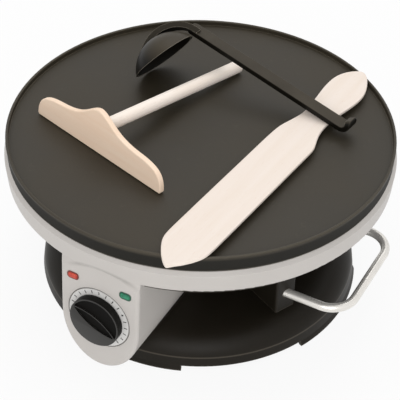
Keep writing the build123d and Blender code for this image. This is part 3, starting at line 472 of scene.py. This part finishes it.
def applyModifier(piece, name, kind, **settings):
    modifier = piece.modifiers.new(name, kind)
    for key, value in settings.items():
        setattr(modifier, key, value)
    bpy.context.view_layer.objects.active = piece
    bpy.ops.object.modifier_apply(modifier=name)


def carve(piece, cutter, operation="DIFFERENCE"):
    applyModifier(piece, "carve", "BOOLEAN", operation=operation, object=cutter,
                  solver="EXACT", material_mode="TRANSFER")
    bpy.data.objects.remove(cutter, do_unlink=True)


def joinAll(name, parts):
    selectOnly(parts[0])
    for part in parts:
        part.select_set(True)
    bpy.ops.object.join()
    parts[0].name = name
    return parts[0]


def roundEdges(piece, width, steps=3, angle=30, **more):
    applyModifier(piece, "soften", "BEVEL", width=width, segments=steps,
                  limit_method="ANGLE", angle_limit=math.radians(angle), **more)
    selectOnly(piece)
    bpy.ops.object.shade_smooth_by_angle(angle=math.radians(35))


def coat(piece, finish):
    piece.data.materials.append(finishes[finish])
    return piece


panel = {"height": 0.068, "front": -0.1676, "tilt": 4.0}


def onPanel(piece, size):
    # from flat on the ground to the panel's face: +Z becomes its outward direction
    upright = Matrix.Rotation(math.radians(90 - size["tilt"]), 4, "X")
    piece.matrix_world = Matrix.Translation((0, size["front"], size["height"])) @ upright
    selectOnly(piece)
    applyPlace()


def finishPiece(piece, body):
    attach(piece, body)


knob = {
    "radius": 0.0225, "bottom": 0.001, "top": 0.0078, "turn": -26.0,
    "wall": 0.0013,          # round the second pocket
    "reach": 0.0207, "bulge": 0.0050,                 # half length and half width of the lens
    "web": 0.0008,           # between the two pockets
    "floor": 0.0067, "edge": 0.00035,
    "over": 0.002,           # cutters pass the faces by this much
    "rimBand": 0.0003,
}


def bentSide(name, size, reach, bulge, side):
    # round block whose rim is an arc over (-reach, 0), (0, side * bulge), (reach, 0)
    radius = (reach ** 2 + bulge ** 2) / (2 * bulge)
    return roundBlock(name, radius, size["floor"], size["top"] + size["over"],
                      (0, side * (bulge - radius)))


def isRim(face, size):
    upright = abs(face.normal.z) < 0.5
    return upright and face.center.xy.length > size["radius"] - size["rimBand"]


def makeKnob(size):
    cap = coat(roundBlock("knobCap", size["radius"], size["bottom"], size["top"]), "knob_black")
    # the cutters carry the darker pocket finish, painted shade, onto the pocket faces
    lens = coat(bentSide("lens", size, size["reach"], size["bulge"], 1), "knob_pocket")
    other = coat(bentSide("other", size, size["reach"], size["bulge"], -1), "knob_pocket")
    carve(lens, other, "INTERSECT")
    pocket = coat(roundBlock("pocket", size["radius"] - size["wall"], size["floor"],
                             size["top"] + size["over"]), "knob_pocket")
    below = coat(bentSide("below", size, size["reach"] + size["over"],
                          size["bulge"] + size["web"], 1), "knob_pocket")
    carve(pocket, below)
    carve(cap, lens)
    carve(cap, pocket)
    side = len(cap.data.materials)
    coat(cap, "knob_side")
    for face in cap.data.polygons:
        if isRim(face, size):
            face.material_index = side
    # the rounded edges take the lighter finish: painted highlight
    coat(cap, "knob_edge")
    roundEdges(cap, size["edge"], 3, 40, material=side + 1)
    cap.matrix_world = Matrix.Rotation(math.radians(size["turn"]), 4, "Z")
    applyPlace()
    onPanel(cap, panel)
    finishPiece(cap, "knob_body")
    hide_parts("knob")


dial = {
    "face": 0.0002,
    "tick": (0.0030, 0.0008, 0.0002), "tickCircle": 0.02515, "tickBase": 0.00008,
    "tickEdge": 0.00008,
    "first": 240.0, "step": 15.0, "count": 20,        # degrees, clockwise from the first
    "numberFirst": 2, "numberEvery": 4,               # which ticks give way to numbers
    "numberCircle": 0.0252, "numberSize": 0.0034, "numberDepth": 0.00006,
    "numberWeight": 0.00004, "numberLift": 0.00005,
    # a thin dark ring in the groove round the dial: painted shade
    "groove": 0.0284, "grooveWire": 0.0004, "grooveFloor": -0.0004, "grooveFlat": 0.5,
}


def around(angle, radius, height):
    turned = math.radians(angle)
    return (radius * math.cos(turned), radius * math.sin(turned), height)


def numeral(text, angle, size):
    selectOnly()
    bpy.ops.object.text_add(location=(0, 0, 0))
    made = bpy.context.active_object
    made.data.body = text
    made.data.size = size["numberSize"]
    made.data.extrude = size["numberDepth"]
    made.data.offset = size["numberWeight"]
    made.data.align_x = "CENTER"
    made.data.align_y = "CENTER"
    bpy.ops.object.convert(target="MESH")
    place = around(angle, size["numberCircle"], size["face"] + size["numberLift"])
    turn = Matrix.Rotation(math.radians(angle - 90), 4, "Z")
    made.matrix_world = Matrix.Translation(place) @ turn
    applyPlace()
    return made


def tickMark(angle, size):
    height = size["face"] - size["tick"][2] / 2 + size["tickBase"]
    return flatBlock("tick", size["tick"], around(angle, size["tickCircle"], height),
                     math.radians(angle))


def makeDialPrint(size):
    # ticks round the knob, with numbers in the place of some
    angles = [size["first"] - i * size["step"] for i in range(size["count"])]
    numbered = angles[size["numberFirst"]::size["numberEvery"]]
    ticks = joinAll("dialTicks", [tickMark(angle, size) for angle in angles
                                  if angle not in numbered])
    roundEdges(ticks, size["tickEdge"], 2)
    numbers = [numeral(str(i + 1), angle, size) for i, angle in enumerate(numbered)]
    made = joinAll("dialPrint", [ticks, *numbers])
    made.data.materials.clear()
    coat(made, "print_dark")
    onPanel(made, panel)
    finishPiece(made, "root")


def makeDialGrooveShade(size):
    # a thin dark ring laid in the groove round the dial as painted shade
    selectOnly()
    bpy.ops.mesh.primitive_torus_add(major_radius=size["groove"], minor_radius=size["grooveWire"],
                                     major_segments=160, minor_segments=12,
                                     location=(0, 0, size["grooveFloor"]))
    made = bpy.context.active_object
    made.name = "dialGrooveShade"
    made.scale = (1, 1, size["grooveFlat"])
    applyPlace()
    bpy.ops.object.shade_smooth()
    coat(made, "groove_shade")
    onPanel(made, panel)
    finishPiece(made, "root")


stage = {"size": 30.0, "floor": srgb(244, 244, 244), "drop": 0.0005, "lift": 0.9, "sky": 0.6}
white = (1, 1, 1, 1)


def seenDirectly(wire):
    # 1 for what the camera, metal and glass see, 0 for plain light
    camera, glossy, glass = [wire.make("ShaderNodeLightPath", output=ray) for ray in (
        "Is Camera Ray", "Is Glossy Ray", "Is Transmission Ray")]
    return camera.larger(glossy).larger(glass)


def makeFloor(size):
    selectOnly()
    bpy.ops.mesh.primitive_plane_add(size=size["size"], location=(0, 0, -size["drop"]))
    floor = bpy.context.active_object
    floor.name = "floor"
    made = Finish("floorPaper", size["floor"], 0.9)
    tree = made.wire.tree
    glow = made.wire.make("ShaderNodeEmission", inputs={"Color": white})
    blend = made.wire.make("ShaderNodeMixShader", inputs={
        0: seenDirectly(made.wire) * size["lift"], 1: Wire(tree, made.shader.outputs[0]), 2: glow})
    tree.links.new(blend.socket, tree.nodes["Material Output"].inputs["Surface"])
    floor.data.materials.append(made.material)


def makeSky(size):
    world = bpy.data.worlds.new("world")
    world.use_nodes = True
    bpy.context.scene.world = world
    strength = size["sky"] + (1 - size["sky"]) * seenDirectly(Wire(world.node_tree))
    sky = world.node_tree.nodes["Background"]
    sky.inputs["Color"].default_value = white
    world.node_tree.links.new(strength.socket, sky.inputs["Strength"])


finishes = makeFinishes()
dressFrame(finishes)
print("finishes done")
makeKnob(knob)
print("knob done")
makeDialPrint(dial)
makeDialGrooveShade(dial)
print("dial done")
makeFloor(stage)
makeSky(stage)
makeCamera(camera)
for name, size in lamps.items():
    makeLamp(name, size)
print("floor, light and camera done")

bpy.context.scene.view_settings.view_transform = "Standard"
